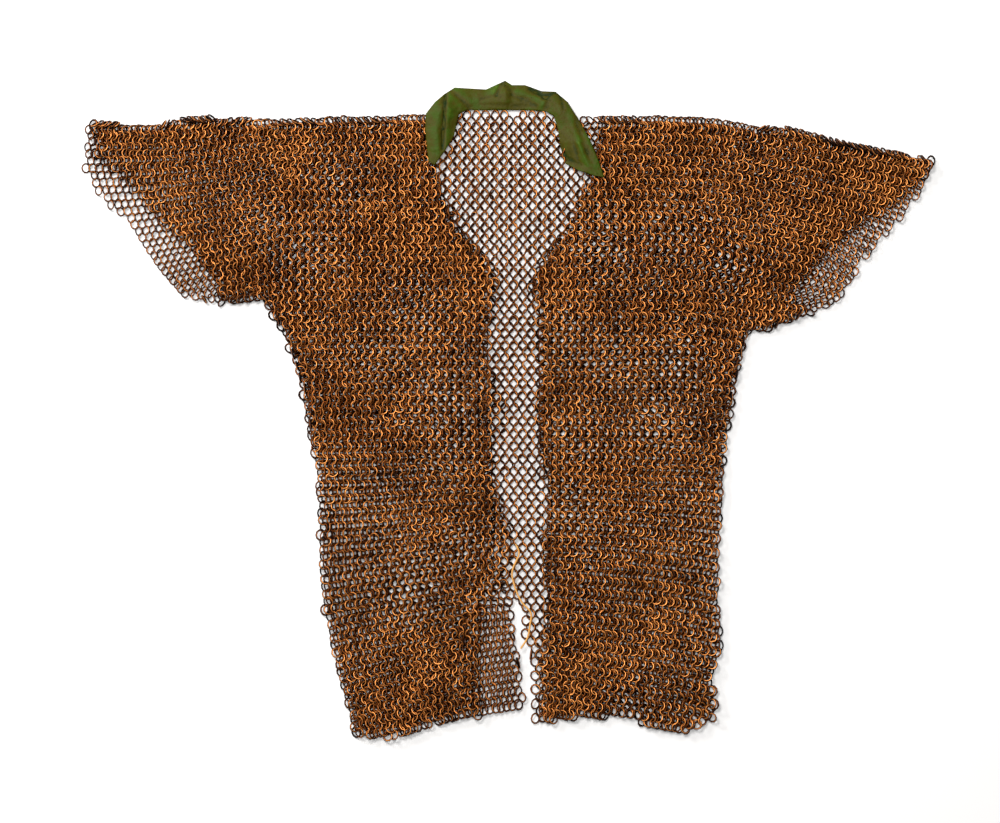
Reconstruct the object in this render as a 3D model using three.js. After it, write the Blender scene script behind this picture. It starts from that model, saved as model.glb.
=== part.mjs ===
// A chainmail hauberk with an open front, laid flat on its back with the collar towards +Y.
// Millimetres, +Z up. Left and right are as seen from above. The back lies on the surface, both
// front panels lie on the back, and each sleeve is a flattened tube that is open at both ends.
import * as THREE from 'three';

const BACK_THICKNESS = 4.5;
const FRONT_THICKNESS = 6;
const SEAM_GAP = 0.3;
const CLOTH_THICKNESS = 1.2;
const LACE_DIAMETER = 2;
const LACE_STEP = 4.5;
const LACE_SIDES = 8;

const FRONT_BOTTOM = BACK_THICKNESS + SEAM_GAP;
const FRONT_TOP = FRONT_BOTTOM + FRONT_THICKNESS;
const FOLD_RADIUS = FRONT_TOP / 2;
const FOLD_HOLLOW = BACK_THICKNESS + SEAM_GAP / 2;
const EDGE_BEVEL = 3;

const BACK_COLUMNS = 6;
const FRONT_COLUMNS = 7;
const SLEEVE_STATIONS = 9;

// The straight seams between body and sleeves, from the shoulder fold down to the armpit.
const ARMHOLES = {
  left: { topX: -278, topY: 335, bottomX: -285, bottomY: 123 },
  right: { topX: 263, topY: 331, bottomX: 275, bottomY: 84 },
};

// Levels of the first and last course of the body, before they bend along the shoulder and hem.
const TOP_LEVEL = 340;
const TOP_BEND_ENDS = 265;
const HEM_LEVEL = -360;
const HEM_BEND_STARTS = -240;

// Sides of the body below the armpits.
const SIDES = [
  { y: 121, left: -285, right: 277 },
  { y: 112, left: -278, right: 276 },
  { y: 91, left: -265, right: 274 },
  { y: 77, left: -259, right: 272 },
  { y: 61, left: -252, right: 269 },
  { y: 38, left: -245, right: 264 },
  { y: 6, left: -239, right: 258 },
  { y: -37, left: -231, right: 252 },
  { y: -83, left: -222, right: 246 },
  { y: -152, left: -221, right: 243 },
  { y: -220, left: -216, right: 241 },
  { y: -273, left: -205, right: 246 },
  { y: -306, left: -194, right: 232 },
  { y: -332, left: -187, right: 240 },
  { y: -360, left: -180, right: 241 },
];

// Inner edges of the two front panels: the neck, then the wavy front opening.
const OPENING = [
  { y: 340, left: -88, right: 103 },
  { y: 310, left: -88, right: 99 },
  { y: 283, left: -87, right: 95 },
  { y: 261, left: -79, right: 93 },
  { y: 245, left: -75, right: 81 },
  { y: 227, left: -68, right: 72 },
  { y: 208, left: -58, right: 64 },
  { y: 192, left: -40, right: 56 },
  { y: 177, left: -29, right: 48 },
  { y: 162, left: -18, right: 32 },
  { y: 148, left: -10, right: 23 },
  { y: 132, left: -13, right: 22 },
  { y: 107, left: -20, right: 27 },
  { y: 83, left: -27, right: 32 },
  { y: 61, left: -26, right: 36 },
  { y: 43, left: -21, right: 35 },
  { y: 26, left: -13, right: 32 },
  { y: 3, left: -3, right: 28 },
  { y: -26, left: -12, right: 32 },
  { y: -49, left: -17, right: 36 },
  { y: -70, left: -19, right: 41 },
  { y: -91, left: -14, right: 45 },
  { y: -109, left: -10, right: 47 },
  { y: -125, left: 0, right: 42 },
  { y: -156, left: 3, right: 35 },
  { y: -207, left: -3, right: 40 },
  { y: -221, left: -26, right: 41 },
  { y: -240, left: -29, right: 39 },
  { y: -271, left: -31, right: 29 },
  { y: -312, left: -34, right: 32 },
  { y: -360, left: -32, right: 32 },
];

// The slit in the middle of the back's hem. Its first row is the top of the slit.
const SLIT = [
  { y: -216, left: 4, right: 4 },
  { y: -229, left: 4, right: 10 },
  { y: -246, left: 5, right: 13 },
  { y: -262, left: 8, right: 15 },
  { y: -275, left: 11, right: 16 },
  { y: -290, left: 14, right: 22 },
  { y: -310, left: 17, right: 26 },
  { y: -335, left: 19, right: 26 },
  { y: -360, left: 20, right: 26 },
];

const SHOULDER_LINE = [
  { x: -278, y: 335 },
  { x: -209, y: 336 },
  { x: -97, y: 339 },
  { x: -5, y: 342 },
  { x: 50, y: 340 },
  { x: 88, y: 336 },
  { x: 200, y: 339 },
  { x: 239, y: 334 },
  { x: 263, y: 331 },
];

const HEM_LINE = [
  { x: -183, y: -378 },
  { x: -157, y: -380 },
  { x: -134, y: -379 },
  { x: -99, y: -366 },
  { x: -62, y: -356 },
  { x: -37, y: -358 },
  { x: -21, y: -353 },
  { x: 21, y: -343 },
  { x: 26, y: -361 },
  { x: 58, y: -360 },
  { x: 105, y: -354 },
  { x: 125, y: -355 },
  { x: 159, y: -363 },
  { x: 183, y: -373 },
  { x: 201, y: -374 },
  { x: 219, y: -367 },
  { x: 243, y: -353 },
];

// Where each course of a sleeve ends at the cuff, from the shoulder fold to the underarm fold.
// The back wall reaches past the front wall.
const LEFT_CUFF = [
  { backX: -486, backY: 332, frontX: -486, frontY: 332 },
  { backX: -490, backY: 312, frontX: -479, frontY: 309 },
  { backX: -493, backY: 287, frontX: -473, frontY: 286 },
  { backX: -486, backY: 260, frontX: -446, frontY: 263 },
  { backX: -468, backY: 235, frontX: -423, frontY: 238 },
  { backX: -440, backY: 210, frontX: -398, frontY: 212 },
  { backX: -420, backY: 183, frontX: -365, frontY: 183 },
  { backX: -402, backY: 157, frontX: -346, frontY: 158 },
  { backX: -380, backY: 131, frontX: -332, frontY: 137 },
  { backX: -346, backY: 119, frontX: -346, frontY: 119 },
];
const RIGHT_CUFF = [
  { backX: 493, backY: 288, frontX: 493, frontY: 288 },
  { backX: 486, backY: 271, frontX: 480, frontY: 273 },
  { backX: 475, backY: 252, frontX: 465, frontY: 256 },
  { backX: 465, backY: 233, frontX: 441, frontY: 232 },
  { backX: 451, backY: 217, frontX: 412, frontY: 217 },
  { backX: 432, backY: 195, frontX: 387, frontY: 197 },
  { backX: 413, backY: 173, frontX: 355, frontY: 174 },
  { backX: 397, backY: 153, frontX: 339, frontY: 152 },
  { backX: 382, backY: 123, frontX: 324, frontY: 127 },
  { backX: 351, backY: 108, frontX: 351, frontY: 108 },
];

// Bumps along a sleeve's shoulder fold: along is the share of the way from armhole to cuff.
const LEFT_SHOULDER_BUMPS = [
  { along: 0.4, width: 0.14, rise: 4 },
  { along: 0.68, width: 0.1, rise: -8 },
];
const RIGHT_SHOULDER_BUMPS = [
  { along: 0.3, width: 0.16, rise: 5 },
  { along: 0.93, width: 0.05, rise: -3 },
];

// Soft ridges in the front layer. Each runs from (x, y) for its length at its angle.
const RIDGES = [
  { x: -262, y: 148, length: 120, degrees: 128, width: 13, height: 3.2 },
  { x: -300, y: 270, length: 110, degrees: 176, width: 15, height: 2.4 },
  { x: 300, y: 130, length: 120, degrees: 62, width: 14, height: 3 },
  { x: 120, y: 258, length: 170, degrees: 2, width: 11, height: 2.6 },
  { x: -120, y: 250, length: 190, degrees: 262, width: 16, height: 2.2 },
  { x: 130, y: 180, length: 210, degrees: 278, width: 17, height: 2.4 },
  { x: -165, y: -90, length: 230, degrees: 272, width: 15, height: 2.8 },
  { x: -75, y: -150, length: 170, degrees: 266, width: 14, height: 2.4 },
  { x: 95, y: -110, length: 200, degrees: 268, width: 15, height: 2.6 },
  { x: 190, y: -130, length: 190, degrees: 271, width: 14, height: 3 },
];

// Sections of the folded cloth collar, from its left end over the nape to its right end.
// outer is the folded edge, inner the free edges; the Z values are where the cloth lies.
const COLLAR_SECTIONS = [
  { outerX: -93, outerY: 284, innerX: -86, innerY: 280, outerZ: 11.2, innerZ: 11.2, puff: 0.6 },
  { outerX: -95, outerY: 302, innerX: -73, innerY: 298, outerZ: 11.1, innerZ: 10.1, puff: 1.5 },
  { outerX: -97, outerY: 322, innerX: -64, innerY: 314, outerZ: 11.1, innerZ: 4.9, puff: 2.4 },
  { outerX: -96, outerY: 339, innerX: -60, innerY: 331, outerZ: 11.1, innerZ: 4.9, puff: 3 },
  { outerX: -86, outerY: 352, innerX: -58, innerY: 339, outerZ: 10.9, innerZ: 4.9, puff: 3.6 },
  { outerX: -75, outerY: 362, innerX: -53, innerY: 342, outerZ: 5.5, innerZ: 4.8, puff: 2.6 },
  { outerX: -63, outerY: 370, innerX: -49, innerY: 344, outerZ: 2, innerZ: 3, puff: 3.4 },
  { outerX: -45, outerY: 369, innerX: -41, innerY: 344, outerZ: 0.8, innerZ: 1.5, puff: 2.4 },
  { outerX: -27, outerY: 368, innerX: -26, innerY: 344, outerZ: 0.4, innerZ: 1, puff: 3.4 },
  { outerX: -14, outerY: 374, innerX: -12, innerY: 344, outerZ: 0.4, innerZ: 1, puff: 5.4 },
  { outerX: -5, outerY: 378, innerX: -4, innerY: 344, outerZ: 0.4, innerZ: 1, puff: 7 },
  { outerX: 3, outerY: 373, innerX: 3, innerY: 344, outerZ: 0.4, innerZ: 1, puff: 3.6 },
  { outerX: 18, outerY: 373, innerX: 17, innerY: 344, outerZ: 0.4, innerZ: 1, puff: 3 },
  { outerX: 37, outerY: 366, innerX: 32, innerY: 343, outerZ: 0.8, innerZ: 2, puff: 5 },
  { outerX: 53, outerY: 365, innerX: 42, innerY: 342, outerZ: 3.8, innerZ: 4.9, puff: 3 },
  { outerX: 67, outerY: 353, innerX: 51, innerY: 337, outerZ: 5.2, innerZ: 4.9, puff: 3.6 },
  { outerX: 81, outerY: 331, innerX: 56, innerY: 321, outerZ: 5.5, innerZ: 4.9, puff: 2.6 },
  { outerX: 93, outerY: 308, innerX: 58, innerY: 305, outerZ: 10.9, innerZ: 4.9, puff: 3 },
  { outerX: 101, outerY: 289, innerX: 63, innerY: 283, outerZ: 11.1, innerZ: 4.9, puff: 2.4 },
  { outerX: 105, outerY: 277, innerX: 79, innerY: 274, outerZ: 11.1, innerZ: 11.1, puff: 1.2 },
  { outerX: 109, outerY: 266, innerX: 97, innerY: 268, outerZ: 11.1, innerZ: 11.1, puff: 0.6 },
];
// Share of the band's width over which it climbs from the inner to the outer height.
const COLLAR_CLIMB = 0.6;
const COLLAR_FOLD_GAP = 0.4;
const COLLAR_SHARES = [0, 0.3, 0.6, 0.85];

// The loose lace, from where it leaves the left panel's edge down to its free end.
const LACE_ROUTE = [
  { x: 7, y: -155 },
  { x: 10, y: -161 },
  { x: 11, y: -166 },
  { x: 8, y: -174 },
  { x: 4, y: -183 },
  { x: 3, y: -191 },
  { x: 5, y: -200 },
  { x: 9, y: -212 },
  { x: 12, y: -218 },
  { x: 16, y: -224 },
  { x: 21, y: -229 },
  { x: 24, y: -233 },
  { x: 25, y: -239 },
  { x: 24, y: -245 },
  { x: 22, y: -258 },
  { x: 20, y: -264 },
  { x: 17, y: -269 },
  { x: 13, y: -275 },
];

const MATERIALS = {
  mail: { color: 0x7a4a26, roughness: 0.55, metalness: 0.8 },
  collar_cloth: { color: 0x4a5a16, roughness: 0.85, metalness: 0 },
  lace_thread: { color: 0xd79a3c, roughness: 0.6, metalness: 0 },
};

const lerp = THREE.MathUtils.lerp;
const clamp = THREE.MathUtils.clamp;

// Value of one named column of a table, at a place between its rows.
function tableAt(table, key, column, at) {
  const rising = table[table.length - 1][key] > table[0][key];
  const past = (row) => (rising ? row[key] >= at : row[key] <= at);
  const index = table.findIndex(past);
  if (index < 0) return table[table.length - 1][column];
  if (index === 0) return table[0][column];
  const before = table[index - 1];
  const after = table[index];
  const share = (at - before[key]) / (after[key] - before[key]);
  return lerp(before[column], after[column], share);
}

function ridgeHeight(x, y) {
  return RIDGES.reduce((total, ridge) => {
    const angle = THREE.MathUtils.degToRad(ridge.degrees);
    const dx = x - ridge.x;
    const dy = y - ridge.y;
    const along = (dx * Math.cos(angle) + dy * Math.sin(angle)) / ridge.length;
    const across = (dy * Math.cos(angle) - dx * Math.sin(angle)) / ridge.width;
    if (along <= 0 || along >= 1) return total;
    return total + ridge.height * Math.sin(Math.PI * along) * Math.exp(-across * across);
  }, 0);
}

// A closed wall between two matching grids of points, given as rows. Faces of the outside grid
// turn anticlockwise, and every edge that only one face uses gets a side wall.
function wallBetween(outside, inside, faces) {
  const count = outside.length;
  const index = [];
  const freeEdges = new Map();
  for (const [a, b, c] of faces) {
    index.push(a, b, c, a + count, c + count, b + count);
    for (const [from, to] of [[a, b], [b, c], [c, a]]) {
      if (!freeEdges.delete(`${to},${from}`)) freeEdges.set(`${from},${to}`, [from, to]);
    }
  }
  for (const [from, to] of freeEdges.values()) {
    index.push(from, from + count, to + count, from, to + count, to);
  }
  const geometry = new THREE.BufferGeometry().setFromPoints([...outside, ...inside]);
  geometry.setIndex(index);
  geometry.computeVertexNormals();
  return geometry;
}

// Two triangles for each cell of a grid, whose point numbers pointAt gives.
function gridFaces(rows, columns, pointAt) {
  const faces = [];
  for (let row = 0; row < rows - 1; row += 1) {
    for (let column = 0; column < columns - 1; column += 1) {
      const a = pointAt(row, column);
      const b = pointAt(row + 1, column);
      const c = pointAt(row + 1, column + 1);
      const d = pointAt(row, column + 1);
      faces.push([a, b, c], [a, c, d]);
    }
  }
  return faces;
}

function armholeX(side, y) {
  const seam = ARMHOLES[side];
  return lerp(seam.topX, seam.bottomX, (seam.topY - y) / (seam.topY - seam.bottomY));
}

// Outer edge of the body: the armhole seam above the armpit, the side fold below it.
function bodyEdgeX(side, y, inset) {
  const inward = side === 'left' ? 1 : -1;
  if (y >= ARMHOLES[side].bottomY) return armholeX(side, y) + (inward * SEAM_GAP) / 2;
  return tableAt(SIDES, 'y', side, y) + inward * inset;
}

// Height up the page of a course at x: the first follows the shoulder and the last the hem.
function courseY(level, x, inset) {
  const topShare = clamp((level - TOP_BEND_ENDS) / (TOP_LEVEL - TOP_BEND_ENDS), 0, 1);
  const hemShare = clamp((HEM_BEND_STARTS - level) / (HEM_BEND_STARTS - HEM_LEVEL), 0, 1);
  const shoulder = tableAt(SHOULDER_LINE, 'x', 'y', x) - inset - TOP_LEVEL;
  const hem = tableAt(HEM_LINE, 'x', 'y', x) - HEM_LEVEL;
  return level + topShare * shoulder + hemShare * hem;
}

// Levels of a panel's courses: its own stations and the armpit on each of its sides.
function panelLevels(stations, sides) {
  const armpits = sides.map((side) => ARMHOLES[side].bottomY);
  const levels = new Set([...stations.map((station) => station.y), ...armpits]);
  return [...levels].sort((a, b) => b - a);
}

// Points of one course from startX to endX.
function coursePoints(level, startX, endX, columns, inset, heightAt) {
  return Array.from({ length: columns + 1 }, (_, column) => {
    const x = lerp(startX, endX, column / columns);
    const y = courseY(level, x, inset);
    return new THREE.Vector3(x, y, heightAt(x, y));
  });
}

function frontPanel(side) {
  const levels = panelLevels(OPENING, [side]);
  const surface = (inset, bottom) => levels.flatMap((level) => {
    const inner = tableAt(OPENING, 'y', side, level);
    const outer = bodyEdgeX(side, level, inset);
    const [startX, endX] = side === 'left' ? [outer, inner] : [inner, outer];
    const heightAt = (x, y) => bottom + ridgeHeight(x, y);
    return coursePoints(level, startX, endX, FRONT_COLUMNS, inset, heightAt);
  });
  const width = FRONT_COLUMNS + 1;
  const faces = gridFaces(levels.length, width, (row, column) => row * width + column);
  return wallBetween(surface(EDGE_BEVEL, FRONT_TOP), surface(0, FRONT_BOTTOM), faces);
}

// The back is two halves that share their middle points down to the top of the slit.
function backPanel() {
  const levels = panelLevels([...SIDES, ...SLIT, ...OPENING.slice(0, 3)], ['left', 'right']);
  const slitTop = SLIT[0].y;
  const surface = (inset, height) => levels.flatMap((level) => {
    const left = bodyEdgeX('left', level, inset);
    const right = bodyEdgeX('right', level, inset);
    const heightAt = () => height;
    const halves = [
      ...coursePoints(level, left, tableAt(SLIT, 'y', 'left', level), BACK_COLUMNS, inset, heightAt),
      ...coursePoints(level, tableAt(SLIT, 'y', 'right', level), right, BACK_COLUMNS, inset, heightAt),
    ];
    if (level >= slitTop) halves.splice(BACK_COLUMNS + 1, 1);
    return halves;
  });
  const rowStarts = [];
  let next = 0;
  for (const level of levels) {
    rowStarts.push(next);
    next += 2 * BACK_COLUMNS + (level >= slitTop ? 1 : 2);
  }
  const half = BACK_COLUMNS + 1;
  const leftPoint = (row, column) => rowStarts[row] + column;
  const rightPoint = (row, column) => {
    const shared = levels[row] >= slitTop ? 1 : 0;
    return rowStarts[row] + half - shared + column;
  };
  const faces = [
    ...gridFaces(levels.length, half, leftPoint),
    ...gridFaces(levels.length, half, rightPoint),
  ];
  return wallBetween(surface(0, BACK_THICKNESS), surface(EDGE_BEVEL, 0), faces);
}

// A point in plan on one wall of a sleeve: course counts down from the shoulder fold.
function sleevePlan(side, cuff, bumps, wall, course, along) {
  const seam = ARMHOLES[side];
  const share = course / (cuff.length - 1);
  const outward = side === 'left' ? -1 : 1;
  const startX = lerp(seam.topX, seam.bottomX, share) + (outward * SEAM_GAP) / 2;
  const startY = lerp(seam.topY, seam.bottomY, share);
  const rise = bumps.reduce((total, bump) => {
    const away = (along - bump.along) / bump.width;
    return total + bump.rise * Math.exp(-away * away);
  }, 0);
  const fade = (1 - share) ** 3 * Math.min(1, along * 6);
  return new THREE.Vector2(
    lerp(startX, cuff[course][`${wall}X`], along),
    lerp(startY, cuff[course][`${wall}Y`], along) + rise * fade,
  );
}

// Sections of a flattened tube: along the back wall, round the underarm fold, back along the
// front wall and round the shoulder fold. reach is how far a point lies in from the fold line.
function sleeve(side, cuff, bumps) {
  const last = cuff.length - 1;
  const roundings = {
    outer: [
      { reach: FOLD_RADIUS * 0.3, back: FOLD_RADIUS * 0.3, front: FRONT_TOP - FOLD_RADIUS * 0.3 },
      { reach: FOLD_RADIUS, back: 0, front: FRONT_TOP },
    ],
    inner: [
      { reach: FOLD_RADIUS + 0.3, back: BACK_THICKNESS, front: FRONT_BOTTOM },
      { reach: FOLD_RADIUS + 1.5, back: BACK_THICKNESS, front: FRONT_BOTTOM },
    ],
  };
  const foldReach = { outer: 0, inner: FOLD_RADIUS };
  const foldHeight = { outer: FOLD_RADIUS, inner: FOLD_HOLLOW };
  const wallHeight = {
    outer: { back: 0, front: FRONT_TOP },
    inner: { back: BACK_THICKNESS, front: FRONT_BOTTOM },
  };

  const section = (surface, along) => {
    const plan = (wall, course) => sleevePlan(side, cuff, bumps, wall, course, along);
    const nearFold = (wall, course, reach, z) => {
      const fold = plan(wall, course);
      const towards = plan(wall, course === 0 ? 1 : last - 1).sub(fold).setLength(reach);
      return new THREE.Vector3(fold.x + towards.x, fold.y + towards.y, z);
    };
    const wallPoints = (wall) => Array.from({ length: last - 1 }, (_, step) => {
      const at = plan(wall, step + 1);
      const ridge = wall === 'front' ? ridgeHeight(at.x, at.y) : 0;
      return new THREE.Vector3(at.x, at.y, wallHeight[surface][wall] + ridge);
    });
    const rounding = (wall, course) => roundings[surface].map(
      (row) => nearFold(wall, course, row.reach, row[wall]),
    );
    return [
      nearFold('back', 0, foldReach[surface], foldHeight[surface]),
      ...rounding('back', 0),
      ...wallPoints('back'),
      ...rounding('back', last).reverse(),
      nearFold('back', last, foldReach[surface], foldHeight[surface]),
      ...rounding('front', last),
      ...wallPoints('front').reverse(),
      ...rounding('front', 0).reverse(),
    ];
  };

  const stations = Array.from({ length: SLEEVE_STATIONS }, (_, i) => i / (SLEEVE_STATIONS - 1));
  const loops = { outer: [], inner: [] };
  for (const along of stations) {
    loops.outer.push(section('outer', along));
    loops.inner.push(section('inner', along));
  }
  const around = loops.outer[0].length;
  const order = (row) => (side === 'left' ? SLEEVE_STATIONS - 1 - row : row);
  const pointAt = (row, column) => order(row) * around + (column % around);
  const faces = gridFaces(SLEEVE_STATIONS, around + 1, pointAt);
  return wallBetween(loops.outer.flat(), loops.inner.flat(), faces);
}

// The collar's section is a hairpin: out along the lower layer, round the fold, back on top.
function collar() {
  const foldHeight = 2 * CLOTH_THICKNESS + COLLAR_FOLD_GAP;
  const turn = foldHeight / 2;
  const point = (row, share, reach, lift) => {
    const width = Math.hypot(row.outerX - row.innerX, row.outerY - row.innerY);
    const at = share - reach / width;
    const climb = Math.min(1, at / COLLAR_CLIMB);
    return new THREE.Vector3(
      lerp(row.innerX, row.outerX, at),
      lerp(row.innerY, row.outerY, at),
      lerp(row.innerZ, row.outerZ, climb) + lift,
    );
  };
  const hairpin = (row, lower, upper, turnReach, foldReach) => {
    const puffAt = (share) => row.puff * Math.sin(Math.PI * (0.12 + 0.88 * share));
    return [
      ...COLLAR_SHARES.map((share) => point(row, share, 0, lower)),
      point(row, 1, turnReach, lower),
      point(row, 1, foldReach, turn),
      point(row, 1, turnReach, upper),
      ...[...COLLAR_SHARES].reverse().map((share) => point(row, share, 0, upper + puffAt(share))),
    ];
  };
  const inset = CLOTH_THICKNESS;
  const outside = COLLAR_SECTIONS.map((row) => hairpin(row, 0, foldHeight, turn * 0.5, 0));
  const inside = COLLAR_SECTIONS.map(
    (row) => hairpin(row, inset, foldHeight - inset, turn * 0.5 + inset, inset),
  );
  const around = outside[0].length;
  const last = COLLAR_SECTIONS.length - 1;
  const faces = gridFaces(last + 1, around, (row, column) => (last - row) * around + column);
  return wallBetween(outside.flat(), inside.flat(), faces);
}

function lace() {
  const height = BACK_THICKNESS + SEAM_GAP + LACE_DIAMETER / 2;
  const route = new THREE.CatmullRomCurve3(
    LACE_ROUTE.map((place) => new THREE.Vector3(place.x, place.y, height)),
    false,
    'centripetal',
  );
  const outline = Array.from({ length: LACE_SIDES }, (_, i) => {
    const angle = (2 * Math.PI * i) / LACE_SIDES;
    return new THREE.Vector2(Math.cos(angle), Math.sin(angle)).multiplyScalar(LACE_DIAMETER / 2);
  });
  return new THREE.ExtrudeGeometry(new THREE.Shape(outline), {
    steps: Math.round(route.getLength() / LACE_STEP),
    extrudePath: route,
    bevelEnabled: false,
  });
}

function addPiece(group, name, geometry, materialName) {
  const material = new THREE.MeshStandardMaterial({ name: materialName, ...MATERIALS[materialName] });
  const mesh = new THREE.Mesh(geometry, material);
  mesh.name = name;
  group.add(mesh);
}

const hauberk = new THREE.Group();
addPiece(hauberk, 'back', backPanel(), 'mail');
addPiece(hauberk, 'front_left', frontPanel('left'), 'mail');
addPiece(hauberk, 'front_right', frontPanel('right'), 'mail');
addPiece(hauberk, 'sleeve_left', sleeve('left', LEFT_CUFF, LEFT_SHOULDER_BUMPS), 'mail');
addPiece(hauberk, 'sleeve_right', sleeve('right', RIGHT_CUFF, RIGHT_SHOULDER_BUMPS), 'mail');
addPiece(hauberk, 'collar', collar(), 'collar_cloth');
addPiece(hauberk, 'lace', lace(), 'lace_thread');

// The origin is the middle of the underside of the whole garment's box.
const box = new THREE.Box3().setFromObject(hauberk);
const middle = box.getCenter(new THREE.Vector3());
hauberk.position.set(-middle.x, -middle.y, -box.min.z);

export default hauberk;
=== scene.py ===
import math

import bmesh
import bpy
import numpy as np
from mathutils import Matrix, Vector
from mathutils.bvhtree import BVHTree


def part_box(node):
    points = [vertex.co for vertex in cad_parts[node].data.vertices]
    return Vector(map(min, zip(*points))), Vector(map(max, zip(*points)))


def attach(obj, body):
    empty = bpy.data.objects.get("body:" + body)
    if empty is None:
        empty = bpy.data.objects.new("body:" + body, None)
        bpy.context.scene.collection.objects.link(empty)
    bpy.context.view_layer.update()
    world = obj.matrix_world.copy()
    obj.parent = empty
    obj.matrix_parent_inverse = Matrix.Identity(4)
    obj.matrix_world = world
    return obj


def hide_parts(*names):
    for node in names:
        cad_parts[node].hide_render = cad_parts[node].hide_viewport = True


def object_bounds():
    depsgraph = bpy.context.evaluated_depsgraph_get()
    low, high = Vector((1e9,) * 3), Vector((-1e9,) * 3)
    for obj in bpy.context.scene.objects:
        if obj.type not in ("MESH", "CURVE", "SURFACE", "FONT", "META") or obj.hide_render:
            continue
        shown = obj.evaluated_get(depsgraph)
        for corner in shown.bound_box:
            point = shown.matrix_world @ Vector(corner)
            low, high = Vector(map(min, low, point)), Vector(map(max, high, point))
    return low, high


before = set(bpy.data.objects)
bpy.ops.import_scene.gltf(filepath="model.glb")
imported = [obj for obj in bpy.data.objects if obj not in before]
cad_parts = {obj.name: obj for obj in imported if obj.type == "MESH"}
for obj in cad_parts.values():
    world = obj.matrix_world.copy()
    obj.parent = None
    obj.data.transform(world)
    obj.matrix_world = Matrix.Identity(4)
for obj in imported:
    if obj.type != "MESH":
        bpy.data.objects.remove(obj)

cad_low, cad_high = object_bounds()
rng = np.random.default_rng(7)

MM = 0.001

# Thicknesses of the mail layers in the frame's solids.
BACK_THICKNESS = 4.5 * MM
FRONT_THICKNESS = 6 * MM

# One ring: the radius of its centreline, and its wire.
RING_RADIUS = 5.75 * MM
WIRE_RADIUS = 1.12 * MM
RING_STEPS = 10
WIRE_SIDES = 4

# ---------------------------------------------------------------- camera, floor and light

CAMERA_HEIGHT = 3.4
VIEW_WIDTH = 1.150
VIEW_CENTRE = (-0.0109, -0.0019)
IMAGE_SENSOR = 36
GARMENT_LEVEL = 0.006

FLOOR_SIZE = 14
FLOOR_LEVEL = -0.2 * MM
WORLD_STRENGTH = 0.07

# Disk-shaped lamps, each aimed at the middle of the floor.
LIGHTS = [
    # name, place, size, power, colour
    ("top", (0.05, 0.25, 3.7), 1.2, 66, (1, 0.99, 0.97)),
    ("side", (-0.8, 1.3, 3.0), 1.0, 66, (1, 0.98, 0.95)),
    ("low", (-2.4, 2.1, 1.7), 1.4, 95, (1, 0.98, 0.95)),
]


def add_camera():
    data = bpy.data.cameras.new("camera")
    data.sensor_width = IMAGE_SENSOR
    data.lens = IMAGE_SENSOR * (CAMERA_HEIGHT - GARMENT_LEVEL) / VIEW_WIDTH
    camera = bpy.data.objects.new("camera", data)
    camera.location = (*VIEW_CENTRE, CAMERA_HEIGHT)
    bpy.context.collection.objects.link(camera)
    bpy.context.scene.camera = camera


def add_light(name, place, size, power, colour):
    data = bpy.data.lights.new(name, "AREA")
    data.shape = "DISK"
    data.size = size
    data.energy = power
    data.color = colour
    light = bpy.data.objects.new(name, data)
    light.location = place
    light.rotation_euler = (-Vector(place)).to_track_quat("-Z", "Y").to_euler()
    bpy.context.collection.objects.link(light)


def new_material(name):
    material = bpy.data.materials.new(name)
    material.use_nodes = True
    nodes = material.node_tree.nodes
    return material, nodes, material.node_tree.links, nodes["Principled BSDF"]


def add_noise(nodes, links, place, scale, detail):
    noise = nodes.new("ShaderNodeTexNoise")
    noise.inputs["Scale"].default_value = scale
    noise.inputs["Detail"].default_value = detail
    links.new(place.outputs["Object"], noise.inputs["Vector"])
    return noise


def add_ramp(nodes, links, source, stops):
    """A colour ramp with these (position, colour) stops, driven by source."""
    ramp = nodes.new("ShaderNodeValToRGB")
    elements = ramp.color_ramp.elements
    elements[0].position, elements[0].color = stops[0]
    elements[1].position, elements[1].color = stops[-1]
    for position, colour in stops[1:-1]:
        elements.new(position).color = colour
    links.new(source, ramp.inputs["Fac"])
    return ramp


def add_bump(nodes, links, height, strength, distance):
    bump = nodes.new("ShaderNodeBump")
    bump.inputs["Strength"].default_value = strength
    bump.inputs["Distance"].default_value = distance
    links.new(height.outputs["Fac"], bump.inputs["Height"])
    return bump


def add_floor():
    bpy.ops.mesh.primitive_plane_add(size=FLOOR_SIZE, location=(0, 0, FLOOR_LEVEL))
    floor = bpy.context.object
    floor.name = "floor"
    material, nodes, links, surface = new_material("pale_floor")
    surface.inputs["Base Color"].default_value = (0.93, 0.93, 0.94, 1)
    surface.inputs["Roughness"].default_value = 0.9
    floor.data.materials.append(material)


def set_world(strength):
    world = bpy.data.worlds.new("studio")
    world.use_nodes = True
    background = world.node_tree.nodes["Background"]
    background.inputs["Color"].default_value = (1, 1, 1, 1)
    background.inputs["Strength"].default_value = strength
    bpy.context.scene.world = world


add_camera()
add_floor()
set_world(WORLD_STRENGTH)
for lamp in LIGHTS:
    add_light(*lamp)
bpy.context.scene.view_settings.view_transform = "Standard"

# ---------------------------------------------------------------- lace

LACE_DIAMETER = 2 * MM
LACE_LIFT = 5 * MM
LACE_ROUTE = [
    (7, -155),
    (10, -161),
    (11, -166),
    (8, -174),
    (4, -183),
    (3, -191),
    (5, -200),
    (9, -212),
    (12, -218),
    (16, -224),
    (21, -229),
    (24, -233),
    (25, -239),
    (24, -245),
    (22, -258),
    (20, -264),
    (17, -269),
    (13, -275),
]


def lace_places():
    """The route's points, moved to where the frame has the lace and laid on top of the rings."""
    low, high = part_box("lace")
    route = MM * np.array(LACE_ROUTE)
    shift = (np.array(low[:2]) + high[:2] - route.min(0) - route.max(0)) / 2
    height = high[2] + LACE_LIFT
    return [(*place, height) for place in route + shift]


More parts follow.
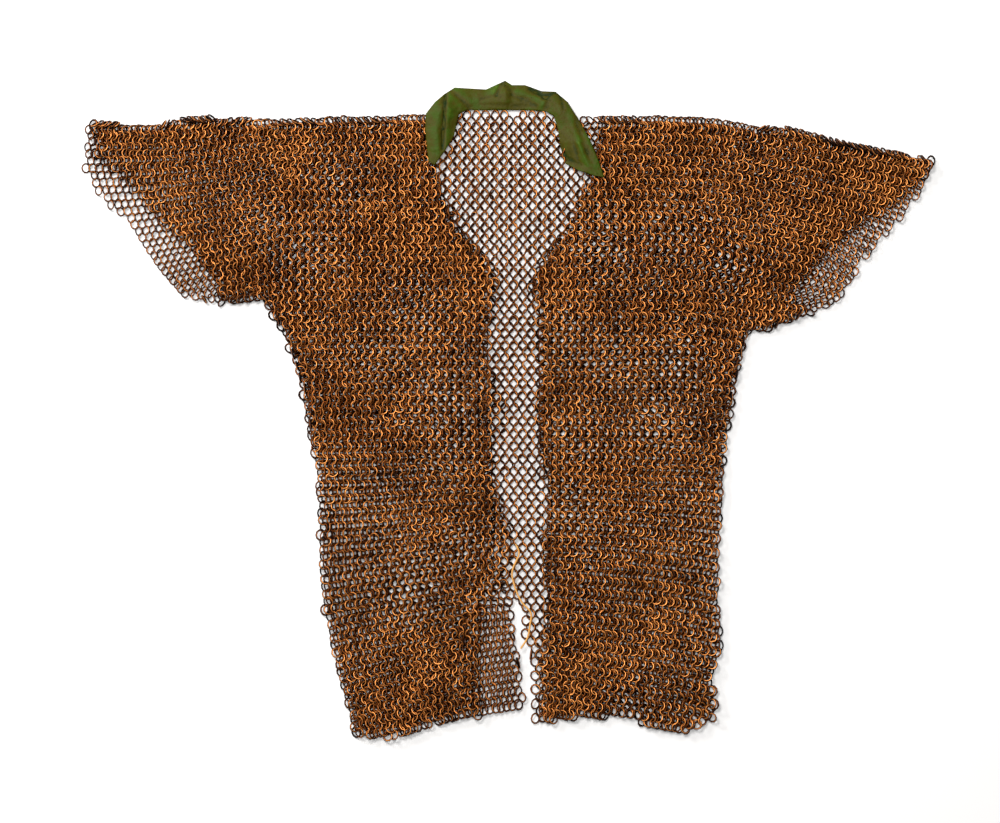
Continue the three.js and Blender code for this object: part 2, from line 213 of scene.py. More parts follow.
def thread_material():
    """Two-ply golden thread: stripes run round it at a slant."""
    material, nodes, links, surface = new_material("golden_thread")
    place = nodes.new("ShaderNodeTexCoord")
    plies = nodes.new("ShaderNodeTexWave")
    plies.bands_direction = "DIAGONAL"
    plies.inputs["Scale"].default_value = 420
    plies.inputs["Distortion"].default_value = 1.5
    links.new(place.outputs["Object"], plies.inputs["Vector"])
    stops = [(0, (0.62, 0.24, 0.04, 1)), (1, (0.95, 0.52, 0.12, 1))]
    ramp = add_ramp(nodes, links, plies.outputs["Fac"], stops)
    links.new(ramp.outputs["Color"], surface.inputs["Base Color"])
    surface.inputs["Roughness"].default_value = 0.6
    surface.inputs["Sheen Weight"].default_value = 0.2
    bump = add_bump(nodes, links, plies, 0.6, 0.4 * MM)
    links.new(bump.outputs["Normal"], surface.inputs["Normal"])
    return material


def thread(name, places, diameter, material):
    """A round thread through these places, as a curve of one open spline."""
    data = bpy.data.curves.new(name, "CURVE")
    data.dimensions = "3D"
    data.bevel_depth = diameter / 2
    data.bevel_resolution = 3
    data.resolution_u = 6
    data.use_fill_caps = True
    spline = data.splines.new("BEZIER")
    spline.bezier_points.add(len(places) - 1)
    for point, place in zip(spline.bezier_points, places):
        point.co = place
        point.handle_left_type = "AUTO"
        point.handle_right_type = "AUTO"
    data.materials.append(material)
    obj = bpy.data.objects.new(name, data)
    bpy.context.collection.objects.link(obj)
    return obj


golden_thread = thread_material()
lace_route = lace_places()
lace = thread("lace_thread", lace_route, LACE_DIAMETER, golden_thread)
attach(lace, "root")
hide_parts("lace")

# ---------------------------------------------------------------- plan of the solids

GRID_STEP = 2 * MM
RAY_START = 0.1


class Plan:
    """The lowest and highest surface of each CAD node, on one square grid seen from above."""

    def __init__(self, names):
        self.low = np.array(cad_low[:2]) - 4 * GRID_STEP
        size = (np.array(cad_high[:2]) - self.low) / GRID_STEP
        self.shape = (int(size[0]) + 6, int(size[1]) + 6)
        self.bottoms = {}
        self.tops = {}
        for name in names:
            self.bottoms[name], self.tops[name] = self.cast(name)

    def cast(self, name):
        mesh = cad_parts[name].data
        corners = [vertex.co.copy() for vertex in mesh.vertices]
        tree = BVHTree.FromPolygons(corners, [tuple(face.vertices) for face in mesh.polygons])
        bottom = np.full(self.shape, np.nan)
        top = np.full(self.shape, np.nan)
        low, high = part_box(name)
        first = np.floor((np.array(low[:2]) - self.low) / GRID_STEP).astype(int)
        last = np.ceil((np.array(high[:2]) - self.low) / GRID_STEP).astype(int)
        down = Vector((0, 0, -1))
        up = Vector((0, 0, 1))
        for i in range(first[0], last[0] + 1):
            x = self.low[0] + i * GRID_STEP
            for j in range(first[1], last[1] + 1):
                y = self.low[1] + j * GRID_STEP
                hit = tree.ray_cast(Vector((x, y, RAY_START)), down)[0]
                if hit is not None:
                    top[i, j] = hit.z
                    bottom[i, j] = tree.ray_cast(Vector((x, y, -RAY_START)), up)[0].z
        return bottom, top

    def look_up(self, grid, x, y):
        i = np.clip(np.rint((x - self.low[0]) / GRID_STEP).astype(int), 0, self.shape[0] - 1)
        j = np.clip(np.rint((y - self.low[1]) / GRID_STEP).astype(int), 0, self.shape[1] - 1)
        return grid[i, j]


MAIL_NODES = ["back", "front_left", "front_right", "sleeve_left", "sleeve_right"]
plan = Plan(MAIL_NODES)

# A sleeve is a flattened tube: its front wall is what lies above this height.
WALL_DIVIDE = 6 * MM


def close_seams(grid, owner):
    """Fill single empty cells, where the grid falls into the gap of a seam."""
    for axis in (0, 1):
        before = np.roll(grid, 1, axis)
        after = np.roll(grid, -1, axis)
        gap = np.isnan(grid) & ~np.isnan(before) & ~np.isnan(after)
        grid[gap] = (before[gap] + after[gap]) / 2
        owner[gap] = np.roll(owner, 1, axis)[gap]


def layer(parts):
    """One layer of mail over several nodes: its surface, and which node each cell is on."""
    surface = np.full(plan.shape, np.nan)
    owner = np.full(plan.shape, -1)
    for name, heights in parts:
        covered = ~np.isnan(heights)
        surface[covered] = heights[covered]
        owner[covered] = MAIL_NODES.index(name)
    close_seams(surface, owner)
    return surface, owner


def front_wall(name):
    tops = plan.tops[name].copy()
    tops[~(tops > WALL_DIVIDE)] = np.nan
    return tops


front_surface, front_owner = layer(
    [(name, front_wall(name)) for name in MAIL_NODES if name != "back"]
)
back_surface, back_owner = layer(
    [(name, plan.bottoms[name]) for name in ("back", "sleeve_left", "sleeve_right")]
)

# ---------------------------------------------------------------- how the mail hangs


def smooth(low, high, value):
    share = np.clip((value - low) / (high - low), 0, 1)
    return share * share * (3 - 2 * share)


def soft_past(value, width):
    """Zero before 0 and value after it, with a round corner."""
    return (value + np.sqrt(value * value + width * width)) / 2


def sway(x, y, seed):
    """A slow wandering between -1 and 1, as hand-laid mail has."""
    a = np.sin(x / (37 * MM) + 1.3 * seed + 1.7 * np.sin(y / (61 * MM) + seed))
    b = np.sin(y / (43 * MM) + 2.1 * seed + 1.4 * np.sin(x / (53 * MM) - seed))
    return (a + b) / 2


# Places where the front layer lies spread open, in millimetres.
OPEN_PLACES = [
    # x, y, radius
    (-205, 262, 45),
    (-275, 205, 45),
    (-235, 180, 50),
    (-110, 110, 60),
    (-150, 60, 50),
    (-80, 10, 55),
    (-70, -50, 45),
    (-125, -205, 45),
    (-55, -160, 30),
    (105, 190, 55),
    (180, 200, 55),
    (250, 165, 40),
    (60, 90, 40),
    (110, 60, 60),
    (190, 60, 45),
    (75, -30, 45),
    (160, -10, 45),
    (65, -110, 40),
    (130, -345, 45),
    (215, -345, 30),
]

# Distance between the rings of one course at some levels of the fronts, in millimetres.
FRONT_PITCHES = [
    # level, pitch
    (385, 9.0),
    (250, 9.2),
    (100, 9.2),
    (-100, 9.0),
    (-220, 8.2),
    (-380, 7.7),
]
SPREAD = 0.1


def openness(x, y):
    found = np.zeros_like(x)
    for px, py, radius in OPEN_PLACES:
        away = ((x - px * MM) ** 2 + (y - py * MM) ** 2) / (radius * MM) ** 2
        found = np.maximum(found, np.exp(-away))
    return found


def front_pitch(x, y):
    levels, pitches = (MM * np.array(column[::-1]) for column in zip(*FRONT_PITCHES))
    sleeve = 1 - 0.16 * smooth(230 * MM, 400 * MM, np.abs(x))
    loose = (1 + SPREAD * openness(x, y)) * (1 + 0.05 * sway(x, y, 1))
    return np.interp(y, levels, pitches) * sleeve * loose


# Under the fronts the back's rings lie below the fronts' gaps, this share of a pitch along;
# where the mail is open the gaps of both lie more over each other.
CLOSED_PHASE = 0.5
OPEN_PHASE = 0.22


def covered_phase(x, y):
    return CLOSED_PHASE + (OPEN_PHASE - CLOSED_PHASE) * openness(x, y)


def no_phase(x, y):
    return np.zeros_like(x)


# The fronts leave the back bare at the neck, down the middle and beside the slit.
BARE_STRETCH = [
    # y, left, right
    (345, -75, 80),
    (250, -70, 75),
    (200, -45, 55),
    (160, -20, 25),
    (60, -20, 30),
    (-60, -15, 30),
    (-190, -15, 35),
    (-240, -50, 40),
    (-380, -55, 25),
]
HIDDEN_SEAM = 8 * MM
NECK_PITCH = 10.9 * MM
GAP_PITCH = 10.3 * MM
SKIRT_PITCH = 6.4 * MM


def bare_stretch(x, y):
    """How far x lies left and right of the bare stretch."""
    levels, left, right = (MM * np.array(column[::-1]) for column in zip(*BARE_STRETCH))
    return np.interp(y, levels, left) - x, x - np.interp(y, levels, right)


def bare_pitch(x, y):
    pitch = GAP_PITCH + (NECK_PITCH - GAP_PITCH) * smooth(60 * MM, 200 * MM, y)
    skirt = smooth(-195 * MM, -240 * MM, y) * smooth(16 * MM, 4 * MM, x)
    pitch = pitch + (SKIRT_PITCH - pitch) * skirt
    return pitch * (1 + 0.02 * sway(x, y, 4))


def left_of_bare(x, y):
    return bare_stretch(x, y)[0] > HIDDEN_SEAM


def right_of_bare(x, y):
    return bare_stretch(x, y)[1] > HIDDEN_SEAM


def at_bare(x, y):
    return ~(left_of_bare(x, y) | right_of_bare(x, y))


def anywhere(x, y):
    return np.ones(len(x), bool)


# The sleeves' courses lie closer together, gathered towards this level.
GATHER_LEVEL = 230 * MM


def gather(x, y, share):
    return share * (GATHER_LEVEL - y) * smooth(230 * MM, 370 * MM, np.abs(x))


def left_bend(x, y):
    """How far a course of the left panel and sleeve lies above its level."""
    sleeve = -0.26 * soft_past(-x - 250 * MM, 30 * MM) * smooth(335 * MM, 170 * MM, y)
    skirt = 0.27 * (x + 30 * MM) * smooth(-30 * MM, -300 * MM, y)
    return sleeve + skirt + gather(x, y, 0.1) + 1.6 * MM * sway(x, y, 2)


def right_bend(x, y):
    sleeve = -0.264 * soft_past(x - 235 * MM, 30 * MM)
    sleeve = sleeve * (0.72 + 0.28 * smooth(330 * MM, 200 * MM, y))
    skirt = -0.17 * (x - 30 * MM) * smooth(-60 * MM, -300 * MM, y)
    return sleeve + skirt + gather(x, y, 0.1) + 1.6 * MM * sway(x, y, 3)


def bare_bend(x, y):
    skirt = 0.15 * (x - 20 * MM) * smooth(-150 * MM, -300 * MM, y)
    return np.where(x < 20 * MM, skirt, -0.5 * skirt) + 0.4 * MM * sway(x, y, 5)


# Height of one course at some levels, in millimetres.
FRONT_DROPS = [
    # level, drop
    (385, 6.4),
    (200, 6.4),
    (50, 6.7),
    (-120, 6.8),
    (-360, 7.1),
]
BARE_DROPS = [
    (385, 6.45),
    (200, 6.45),
    (100, 7.1),
    (-150, 7.4),
    (-360, 8.2),
]

LEFT = {"from": -0.500, "to": 0.012, "spine": -0.020, "pitch": front_pitch, "bend": left_bend}
RIGHT = {"from": 0.014, "to": 0.500, "spine": 0.035, "pitch": front_pitch, "bend": right_bend}
MIDDLE = {"from": -0.120, "to": 0.120, "spine": 0.010, "pitch": bare_pitch, "bend": bare_bend}
FRONT = {"surface": front_surface, "owner": front_owner, "phase": no_phase, "where": anywhere}
BACK = {"surface": back_surface, "owner": back_owner, "phase": covered_phase}

# A lattice of courses: where its rings may lie, and how they are spaced.
LATTICES = {
    "front_left": LEFT | FRONT | {"drops": FRONT_DROPS},
    "front_right": RIGHT | FRONT | {"drops": FRONT_DROPS},
    "back_left": LEFT | BACK | {"drops": FRONT_DROPS, "where": left_of_bare},
    "back_right": RIGHT | BACK | {"drops": FRONT_DROPS, "where": right_of_bare},
    "back_middle": BACK | MIDDLE | {"drops": BARE_DROPS, "phase": no_phase, "where": at_bare},
}
TOP_LEVEL = 0.3835
BOTTOM_LEVEL = -0.385
BEND_ROOM = 0.08
EDGE_MARGIN = 3.3 * MM
EDGE_RAGGEDNESS = 0.5 * MM
MARCH = 1 * MM


def inside(grid, x, y, margin):
    """Whether a ring of this margin about (x, y) lies on the layer."""
    ok = ~np.isnan(plan.look_up(grid, x, y))
    for turn in np.arange(0, 2 * math.pi, math.pi / 4):
        side_x = x + margin * math.cos(turn)
        side_y = y + margin * math.sin(turn)
        ok &= ~np.isnan(plan.look_up(grid, side_x, side_y))
    return ok


def lay_lattice(lattice):
    """Centres, course slopes and parities of all rings of one lattice."""
    found = []
    level = TOP_LEVEL
    number = 0
    drop_levels, drops = (MM * np.array(column[::-1]) for column in zip(*lattice["drops"]))
    xs = np.arange(lattice["from"], lattice["to"], MARCH)
    while level > BOTTOM_LEVEL - BEND_ROOM:
        ys = level + lattice["bend"](xs, np.full_like(xs, level))
        pitch = lattice["pitch"](xs, ys)
        count = np.concatenate([[0], np.cumsum(MARCH / pitch[:-1])])
        count -= np.interp(lattice["spine"], xs, count) + lattice["phase"](xs, ys)
        half = 0.5 * (number % 2)
        wanted = np.arange(math.ceil(count[0]), math.floor(count[-1])) + half
        x = np.interp(wanted, count, xs)
        y = np.interp(x, xs, ys)
        slope = np.interp(x, xs, np.gradient(ys, xs))
        keep = lattice["where"](x, y)
        margin = EDGE_MARGIN + rng.normal(0, EDGE_RAGGEDNESS, len(x))
        keep &= inside(lattice["surface"], x, y, margin)
        rows = np.column_stack([x, y, slope, np.full_like(x, number % 2)])
        found.append(rows[keep])
        level -= np.interp(level, drop_levels, drops)
        number += 1
    return np.concatenate(found)


# Rings are laid high enough that none of this size would reach below the surface.
LARGEST_SIZE = 1.08

# How far rings lean over to their neighbours: the fronts are the more spread.
FRONT_TILT = math.radians(30)
BACK_TILT = math.radians(36)

# Rings that run round a fold, at the shoulders and down the sides, are seen nearly edge-on.
FOLD_REACH = 7 * MM
FOLD_TURN = math.radians(58)
FOLD_BOTTOM = -335 * MM
FOLD_NECK = 88 * MM
CUFF_DEPTH = 14 * MM
CUFF_LINES = [
    # x and y of a point, and the way out of the sleeve
    (-490, 300, -1.0, 0.0),
    (-433, 200, -0.77, -0.63),
    (440, 200, 0.83, -0.56),
]


def past_cuffs(x, y, depth):
    """Whether a place lies within this depth of a cuff's open end."""
    near = np.zeros(len(x), bool)
    for px, py, out_x, out_y in CUFF_LINES:
        near |= (x - px * MM) * out_x + (y - py * MM) * out_y > -depth
    return near


def fold_turns(x, y):
    """How far each ring turns over at the garment's folds, and the way out at it."""
    garment = np.fmax(front_surface, back_surface)
    out = np.zeros((len(x), 2))
    missing = np.zeros(len(x))
    for way in np.arange(0, 2 * math.pi, math.pi / 8):
        side = np.array([math.cos(way), math.sin(way)])
        bare = np.isnan(plan.look_up(garment, x + FOLD_REACH * side[0], y + FOLD_REACH * side[1]))
        out += bare[:, None] * side
        missing += bare / 16
    out /= np.maximum(np.linalg.norm(out, axis=1), 1e-6)[:, None]
    at_neck = (np.abs(x) < FOLD_NECK) & (y > 0)
    folded = (y > FOLD_BOTTOM) & ~at_neck & ~past_cuffs(x, y, CUFF_DEPTH)
    return FOLD_TURN * np.clip(missing / 0.25, 0, 1) * folded, out


def turned(vectors, hinge, angle):
    """Vectors turned about unit hinges."""
    along = np.sum(vectors * hinge, axis=1)[:, None] * hinge
    cos, sin = np.cos(angle)[:, None], np.sin(angle)[:, None]
    return vectors * cos + np.cross(hinge, vectors) * sin + along * (1 - cos)


def ring_frames(rows, grid, is_back):
    """Turn lattice rows into ring centres and the two axes of each ring's plane."""
    x, y, slope, odd = rows.T
    total = len(x)
    drift = 0.4 if is_back else 1.0
    loose = 4 if is_back else 8
    tilt = (BACK_TILT if is_back else FRONT_TILT) + rng.normal(0, math.radians(loose), total)
    tilt += drift * math.radians(7) * sway(1.6 * x, 1.6 * y, 7)
    tilt = np.where(odd > 0.5, tilt, -tilt)
    turn = np.arctan(slope) + rng.normal(0, math.radians(loose), total)
    turn += drift * math.radians(11) * sway(1.9 * x, 1.9 * y, 8)
    pitch_axis = rng.normal(0, math.radians(1.3 * loose), total)
    pitch_axis += drift * math.radians(14) * sway(2.2 * x, 2.2 * y, 9)
    along = np.column_stack([np.cos(turn), np.sin(turn), np.zeros(total)])
    across = np.column_stack([-np.sin(turn), np.cos(turn), np.zeros(total)])
    up = np.tile([0.0, 0.0, 1.0], (total, 1))
    u = along * np.cos(tilt)[:, None] + up * np.sin(tilt)[:, None]
    v = across * np.cos(pitch_axis)[:, None] + up * np.sin(pitch_axis)[:, None]
    fold, out = fold_turns(x, y)
    hinge = np.column_stack([-out[:, 1], out[:, 0], np.zeros(total)])
    u, v = (turned(axis, hinge, fold) for axis in (u, v))
    reach = RING_RADIUS * np.abs(np.sin(tilt)) + WIRE_RADIUS
    surface = plan.look_up(grid, x, y)
    if is_back:
        z = surface + np.maximum(BACK_THICKNESS / 2, reach + 0.2 * MM)
    else:
        z = surface - FRONT_THICKNESS / 2
    half_height = LARGEST_SIZE * (RING_RADIUS * np.hypot(u[:, 2], v[:, 2]) + WIRE_RADIUS)
    z = np.maximum(z, half_height)
    centres = np.column_stack([x, y, z])
    centres[:, :2] += rng.normal(0, (0.2 if is_back else 0.6) * MM, (total, 2))
    return centres, u, v


# Painted light on the rings: each ring is painted brighter where it stands up and gets painted
# shade where it lies low; the top of the wire gets a painted highlight and its flanks painted
# shade.
PAINTED_SHADE_REACH = 3.2 * MM
LOW_PAINTED_LIGHT = 0.55
BARE_LOW_PAINTED_LIGHT = 0.75
FLANK_PAINTED_LIGHT = 0.05


SECTION = math.pi / 2 + 2 * math.pi * np.arange(WIRE_SIDES) / WIRE_SIDES
LAP_SWELL = 0.22


def ring_points(centres, u, v, size):
    """The middle of the wire at each step round each ring, and the points round the wire."""
    total = len(centres)
    w = np.cross(u, v)
    w /= np.linalg.norm(w, axis=1)[:, None]
    v = np.cross(w, u)
    turn = 2 * math.pi * np.arange(RING_STEPS) / RING_STEPS
    radius = size * RING_RADIUS * (1 + rng.normal(0, 0.02, total))
    wire = size * WIRE_RADIUS * (1 + rng.normal(0, 0.04, total))
    lap = rng.integers(0, RING_STEPS, total)
    wire = wire[:, None] * (1 + LAP_SWELL * (np.arange(RING_STEPS)[None, :] == lap[:, None]))
    radial = np.cos(turn)[None, :, None] * u[:, None, :]
    radial = radial + np.sin(turn)[None, :, None] * v[:, None, :]
    middle = centres[:, None, :] + radius[:, None, None] * radial
    out = wire[:, :, None, None] * np.cos(SECTION)[None, None, :, None] * radial[:, :, None, :]
    rise = wire[:, :, None, None] * np.sin(SECTION)[None, None, :, None] * w[:, None, None, :]
    return middle, (middle[:, :, None, :] + out + rise).reshape(-1, 3)


def ring_corners():
    """The step and the side of the wire at the four corners of each face of one ring."""
    step, side = np.meshgrid(np.arange(RING_STEPS), np.arange(WIRE_SIDES), indexing="ij")
    step, side = step.ravel(), side.ravel()
    corner_step = np.stack([step, step + 1, step + 1, step], 1)
    corner_side = np.stack([side, side, side + 1, side + 1], 1)
    return corner_step, corner_side


def ring_uvs(total, corner_step, corner_side):
    """Each ring unrolled in a cell of its own."""
    cells = math.ceil(math.sqrt(total))
    cell = np.stack([np.arange(total) % cells, np.arange(total) // cells], 1)
    place = np.stack([corner_step / RING_STEPS, corner_side / WIRE_SIDES], -1).reshape(1, -1, 2)
    return (cell[:, None, :] + 0.08 + 0.84 * place) / cells


def add_values(mesh, name, values):
    attribute = mesh.attributes.new(name, "FLOAT", "POINT")
    attribute.data.foreach_set("value", values.astype(np.float32))


def ring_mesh(name, centres, u, v, painted_layer_light, low_painted_light, size):
    """One mesh of closed wire rings, four-sided in section and smooth-shaded."""
    total = len(centres)
    per_ring = RING_STEPS * WIRE_SIDES
    middle, points = ring_points(centres, u, v, size)
    corner_step, corner_side = ring_corners()
    corner = (corner_step % RING_STEPS) * WIRE_SIDES + corner_side % WIRE_SIDES
    loops = (np.arange(total)[:, None, None] * per_ring + corner[None]).reshape(-1)

    mesh = bpy.data.meshes.new(name)
    mesh.vertices.add(len(points))
    mesh.vertices.foreach_set("co", points.astype(np.float32).ravel())
    mesh.loops.add(len(loops))
    mesh.loops.foreach_set("vertex_index", loops.astype(np.int32))
    mesh.polygons.add(total * per_ring)
    mesh.polygons.foreach_set("loop_start", np.arange(0, len(loops), 4, dtype=np.int32))
    mesh.polygons.foreach_set("use_smooth", np.ones(total * per_ring, bool))
    mesh.update()
    mesh.validate()

    # Painted shade on each ring's low side and a painted highlight on the top of its wire, its
    # other sides painted shade, all scaled by the layer's painted light.
    height = middle[:, :, 2] - centres[:, 2:3]
    low_painted_light = low_painted_light[:, None]
    painted_light_by_height = low_painted_light + (1 - low_painted_light) * smooth(-PAINTED_SHADE_REACH, PAINTED_SHADE_REACH, height)
    painted_light_by_height *= painted_layer_light[:, None]
    painted_crown_light = np.where(np.sin(SECTION) > 0.5, 1.0, FLANK_PAINTED_LIGHT)
    add_values(mesh, "painted_light", (painted_light_by_height[:, :, None] * painted_crown_light).ravel())
    add_values(mesh, "ring_tone", np.repeat(rng.random(total), per_ring))
    uvs = ring_uvs(total, corner_step, corner_side)
    mesh.uv_layers.new(name="OFBake").data.foreach_set("uv", uvs.astype(np.float32).ravel())
    obj = bpy.data.objects.new(name, mesh)
    bpy.context.collection.objects.link(obj)
    return obj


# ---------------------------------------------------------------- materials


# Rust-brown colours spread along the painted light: black painted shade in the hollows, brown
# painted shade on the flanks and a bright painted highlight on the crests.
MAIL_RUST_AND_PAINTED_LIGHT_COLOURS = [
    (0.4, (0.005, 0.0015, 0.0006, 1)),
    (0.64, (0.048, 0.011, 0.0018, 1)),
    (0.82, (0.36, 0.095, 0.012, 1)),
    (1, (0.84, 0.34, 0.09, 1)),
]


def mail_material():
    material, nodes, links, surface = new_material("rusty_mail_painted_light")
    tone = nodes.new("ShaderNodeAttribute")
    tone.attribute_name = "ring_tone"
    place = nodes.new("ShaderNodeTexCoord")
    patches = add_noise(nodes, links, place, 22, 3)
    grain = add_noise(nodes, links, place, 900, 4)
    # This attribute carries the painted shade and painted highlight of each ring into its colour.
    painted_light = nodes.new("ShaderNodeAttribute")
    painted_light.attribute_name = "painted_light"
    tone_and_painted_light = nodes.new("ShaderNodeMath")
    tone_and_painted_light.operation = "MULTIPLY_ADD"
    tone_and_painted_light.inputs[1].default_value = 0.16
    links.new(tone.outputs["Fac"], tone_and_painted_light.inputs[0])
    links.new(painted_light.outputs["Fac"], tone_and_painted_light.inputs[2])
    blend = nodes.new("ShaderNodeMath")
    blend.operation = "MULTIPLY_ADD"
    blend.inputs[1].default_value = 0.3
    links.new(patches.outputs["Fac"], blend.inputs[0])
    links.new(tone_and_painted_light.outputs[0], blend.inputs[2])
    ramp = add_ramp(nodes, links, blend.outputs[0], MAIL_RUST_AND_PAINTED_LIGHT_COLOURS)
    links.new(ramp.outputs["Color"], surface.inputs["Base Color"])
    surface.inputs["Metallic"].default_value = 0.7
    surface.inputs["Specular IOR Level"].default_value = 0.25
    rough = nodes.new("ShaderNodeMapRange")
    rough.inputs["To Min"].default_value = 0.3
    rough.inputs["To Max"].default_value = 0.62
    links.new(grain.outputs["Fac"], rough.inputs["Value"])
    links.new(rough.outputs["Result"], surface.inputs["Roughness"])
    bump = add_bump(nodes, links, grain, 0.25, 0.3 * MM)
    links.new(bump.outputs["Normal"], surface.inputs["Normal"])
    return material


mail = mail_material()

# ---------------------------------------------------------------- collar

COLLAR_EDGE = 2.6 * MM
COLLAR_PASSES = 5

# Creases of the folded silk, each a straight trough (negative) or ridge, in millimetres.
COLLAR_FOLDS = [
    # x0, y0, x1, y1, width, height
    (-73, 363, -77, 300, 1.6, -2.6),
    (-69, 360, -72, 302, 2.4, 1.2),
    (-84, 352, -84, 300, 3.0, 0.7),
    (-66, 366, -46, 347, 2.0, -1.3),
    (-60, 369, -40, 352, 2.4, 0.8),
    (-8, 378, -15, 362, 1.4, -1.8),
    (-12, 378, -19, 364, 2.6, 1.4),
    (-15, 362, -33, 357, 1.3, -1.2),
    (-7, 378, 1, 367, 1.6, -1.4),
    (6, 370, 2, 362, 1.3, -1.2),
    (3, 362, 30, 351, 1.5, -1.1),
    (6, 367, 34, 358, 2.2, 1.2),
    (25, 369, 41, 359, 2.2, -2.6),
    (41, 359, 55, 366, 1.8, -2.4),
    (41, 358, 34, 343, 1.6, 1.2),
    (46, 356, 40, 343, 1.6, -1.0),
    (58, 362, 62, 346, 1.6, -1.6),
    (54, 311, 66, 288, 1.6, -1.6),
    (66, 288, 82, 282, 1.6, -1.4),
    (70, 338, 84, 300, 2.4, 0.9),
    (76, 330, 90, 296, 1.8, -1.0),
    (74, 306, 81, 279, 1.2, -1.2),
    (78, 307, 90, 280, 1.2, 1.0),
    (83, 306, 95, 283, 1.2, -1.1),
    (86, 318, 101, 287, 1.4, 0.8),
    (-40, 352, 30, 349, 1.5, -0.8),
]


def fold_height(x, y):
    height = np.zeros_like(x)
    for x0, y0, x1, y1, width, lift in MM * np.array(COLLAR_FOLDS):
        length = math.hypot(x1 - x0, y1 - y0)
        along = ((x - x0) * (x1 - x0) + (y - y0) * (y1 - y0)) / length**2
        share = np.clip(along, 0, 1)
        away = np.hypot(x - x0 - share * (x1 - x0), y - y0 - share * (y1 - y0))
        height += lift * np.exp(-((away / (1.5 * width)) ** 2))
    return height


# Silk colours from dark to light; through the fold attribute the creases take painted shade from
# the dark end and the ridges a painted highlight from the light end.
SILK_COLOURS = [
    (0.18, (0.003, 0.006, 0.0006, 1)),
    (0.45, (0.010, 0.022, 0.0010, 1)),
    (0.58, (0.052, 0.045, 0.0016, 1)),
    (0.70, (0.036, 0.072, 0.0025, 1)),
    (0.95, (0.14, 0.20, 0.007, 1)),
]


def collar_material():
    material, nodes, links, surface = new_material("green_silk")
    place = nodes.new("ShaderNodeTexCoord")
    # The fold attribute paints shade into the creases and a highlight onto the ridges.
    fold = nodes.new("ShaderNodeAttribute")
    fold.attribute_name = "fold"
    patches = add_noise(nodes, links, place, 55, 9)
    patches.inputs["Roughness"].default_value = 0.8
    blend = nodes.new("ShaderNodeMath")
    blend.operation = "MULTIPLY_ADD"
    blend.inputs[1].default_value = 0.62
    links.new(patches.outputs["Fac"], blend.inputs[0])
    links.new(fold.outputs["Fac"], blend.inputs[2])
    ramp = add_ramp(nodes, links, blend.outputs[0], SILK_COLOURS)
    links.new(ramp.outputs["Color"], surface.inputs["Base Color"])
    surface.inputs["Roughness"].default_value = 0.55
    surface.inputs["Specular IOR Level"].default_value = 0.12
    weave = add_noise(nodes, links, place, 1300, 2)
    crumple = add_noise(nodes, links, place, 130, 5)
    bump = add_bump(nodes, links, crumple, 0.8, 1.6 * MM)
    fine = add_bump(nodes, links, weave, 0.5, 0.3 * MM)
    links.new(bump.outputs["Normal"], fine.inputs["Normal"])
    links.new(fine.outputs["Normal"], surface.inputs["Normal"])
    return material


def add_collar():
    """The collar's solid, cut finer on top and creased."""
    work = bmesh.new()
    work.from_mesh(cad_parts["collar"].data)
    bmesh.ops.remove_doubles(work, verts=work.verts, dist=0.01 * MM)
    for _ in range(COLLAR_PASSES):
        long_edges = [
            edge
            for edge in work.edges
            if edge.calc_length() > COLLAR_EDGE
            and any(face.normal.z > 0.3 for face in edge.link_faces)
        ]
        bmesh.ops.subdivide_edges(work, edges=long_edges, cuts=1)
        bmesh.ops.triangulate(work, faces=work.faces)
    top = [v for v in work.verts if all(face.normal.z > 0.2 for face in v.link_faces)]
    for _ in range(3):
        bmesh.ops.smooth_vert(work, verts=top, factor=0.5, use_axis_z=True)
    x = np.array([v.co.x for v in work.verts])
    y = np.array([v.co.y for v in work.verts])
    lift = fold_height(x, y)
    crumple = 0.35 * MM * sway(5 * x, 5 * y, 11) + 0.25 * MM * sway(9 * x, 9 * y, 12)
    for vert in top:
        vert.co.z += float(0.62 * lift[vert.index] + crumple[vert.index])
    mesh = bpy.data.meshes.new("collar_silk")
    work.to_mesh(mesh)
    work.free()
    mesh.shade_smooth()
    # Painted shade in the creases and a painted highlight on the ridges, stored as the fold
    # attribute.
    fold = mesh.attributes.new("fold", "FLOAT", "POINT")
    fold.data.foreach_set("value", (0.3 + 0.07 * lift / MM).astype(np.float32))
    mesh.materials.append(collar_material())
    obj = bpy.data.objects.new("collar_silk", mesh)
    bpy.context.collection.objects.link(obj)
    return obj


collar = add_collar()
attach(collar, "root")
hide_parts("collar")

# ---------------------------------------------------------------- mail pieces

# How brightly each layer's rings are painted: the back under the fronts gets painted shade, and
# the bare back is painted a little darker than the fronts.
FRONT_PAINTED_LIGHT = 1.0
BARE_BACK_PAINTED_LIGHT = 0.8
COVERED_BACK_PAINTED_LIGHT = 0.62

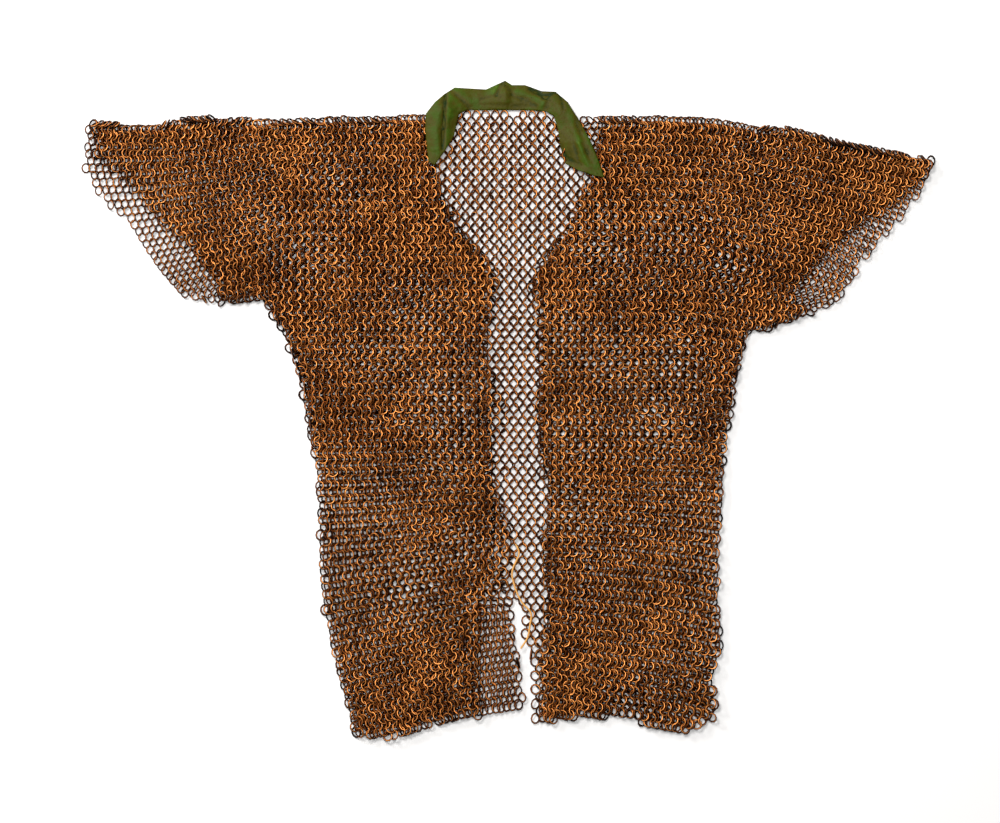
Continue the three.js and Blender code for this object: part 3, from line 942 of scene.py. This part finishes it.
# Sizes of the rings, as shares of the ring above: smaller on the sleeves and at bare cuffs.
FRONT_SIZE = 0.95
SLEEVE_LOSS = 0.04
COVERED_SIZE = 1.04
CUFF_LOSS = 0.12


def ring_looks(x, bare, is_back):
    """How much painted light each ring's layer gets, how much of it the ring's low side keeps,
    and how large each ring is.
    """
    away = np.abs(x)
    if is_back:
        bare_size = 1 - CUFF_LOSS * smooth(70 * MM, 110 * MM, away)
        return (
            np.where(bare, BARE_BACK_PAINTED_LIGHT, COVERED_BACK_PAINTED_LIGHT),
            np.where(bare, BARE_LOW_PAINTED_LIGHT, LOW_PAINTED_LIGHT),
            np.where(bare, bare_size, COVERED_SIZE),
        )
    size = FRONT_SIZE - SLEEVE_LOSS * smooth(230 * MM, 330 * MM, away)
    return np.full(len(x), FRONT_PAINTED_LIGHT), np.full(len(x), LOW_PAINTED_LIGHT), size


PIECES = {name: [] for name in MAIL_NODES}
for lattice in LATTICES.values():
    rows = lay_lattice(lattice)
    is_back = lattice["surface"] is back_surface
    frames = ring_frames(rows, lattice["surface"], is_back)
    owners = plan.look_up(lattice["owner"], rows[:, 0], rows[:, 1])
    bare = np.isnan(plan.look_up(front_surface, rows[:, 0], rows[:, 1]))
    looks = ring_looks(rows[:, 0], bare, is_back)
    for index, name in enumerate(MAIL_NODES):
        mine = owners == index
        if mine.any():
            PIECES[name].append([part[mine] for part in (*frames, *looks)])

# The back has too many rings for one piece, so it is cut across at these levels.
CUTS = {"back": (110 * MM, -120 * MM)}
BAND_NAMES = ("shoulders", "waist", "skirt")


def banded(name, centres):
    """Names of the pieces that a node's rings go to, with the rings of each."""
    if name not in CUTS:
        return {name + "_mail": np.ones(len(centres), bool)}
    band = sum((centres[:, 1] < cut).astype(int) for cut in CUTS[name])
    return {f"{name}_{part}": band == i for i, part in enumerate(BAND_NAMES)}


for name, parts in PIECES.items():
    whole = [np.concatenate(part) for part in zip(*parts)]
    for piece_name, mine in banded(name, whole[0]).items():
        piece = ring_mesh(piece_name, *(part[mine] for part in whole))
        piece.data.materials.append(mail)
        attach(piece, "root")
        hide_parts(name)
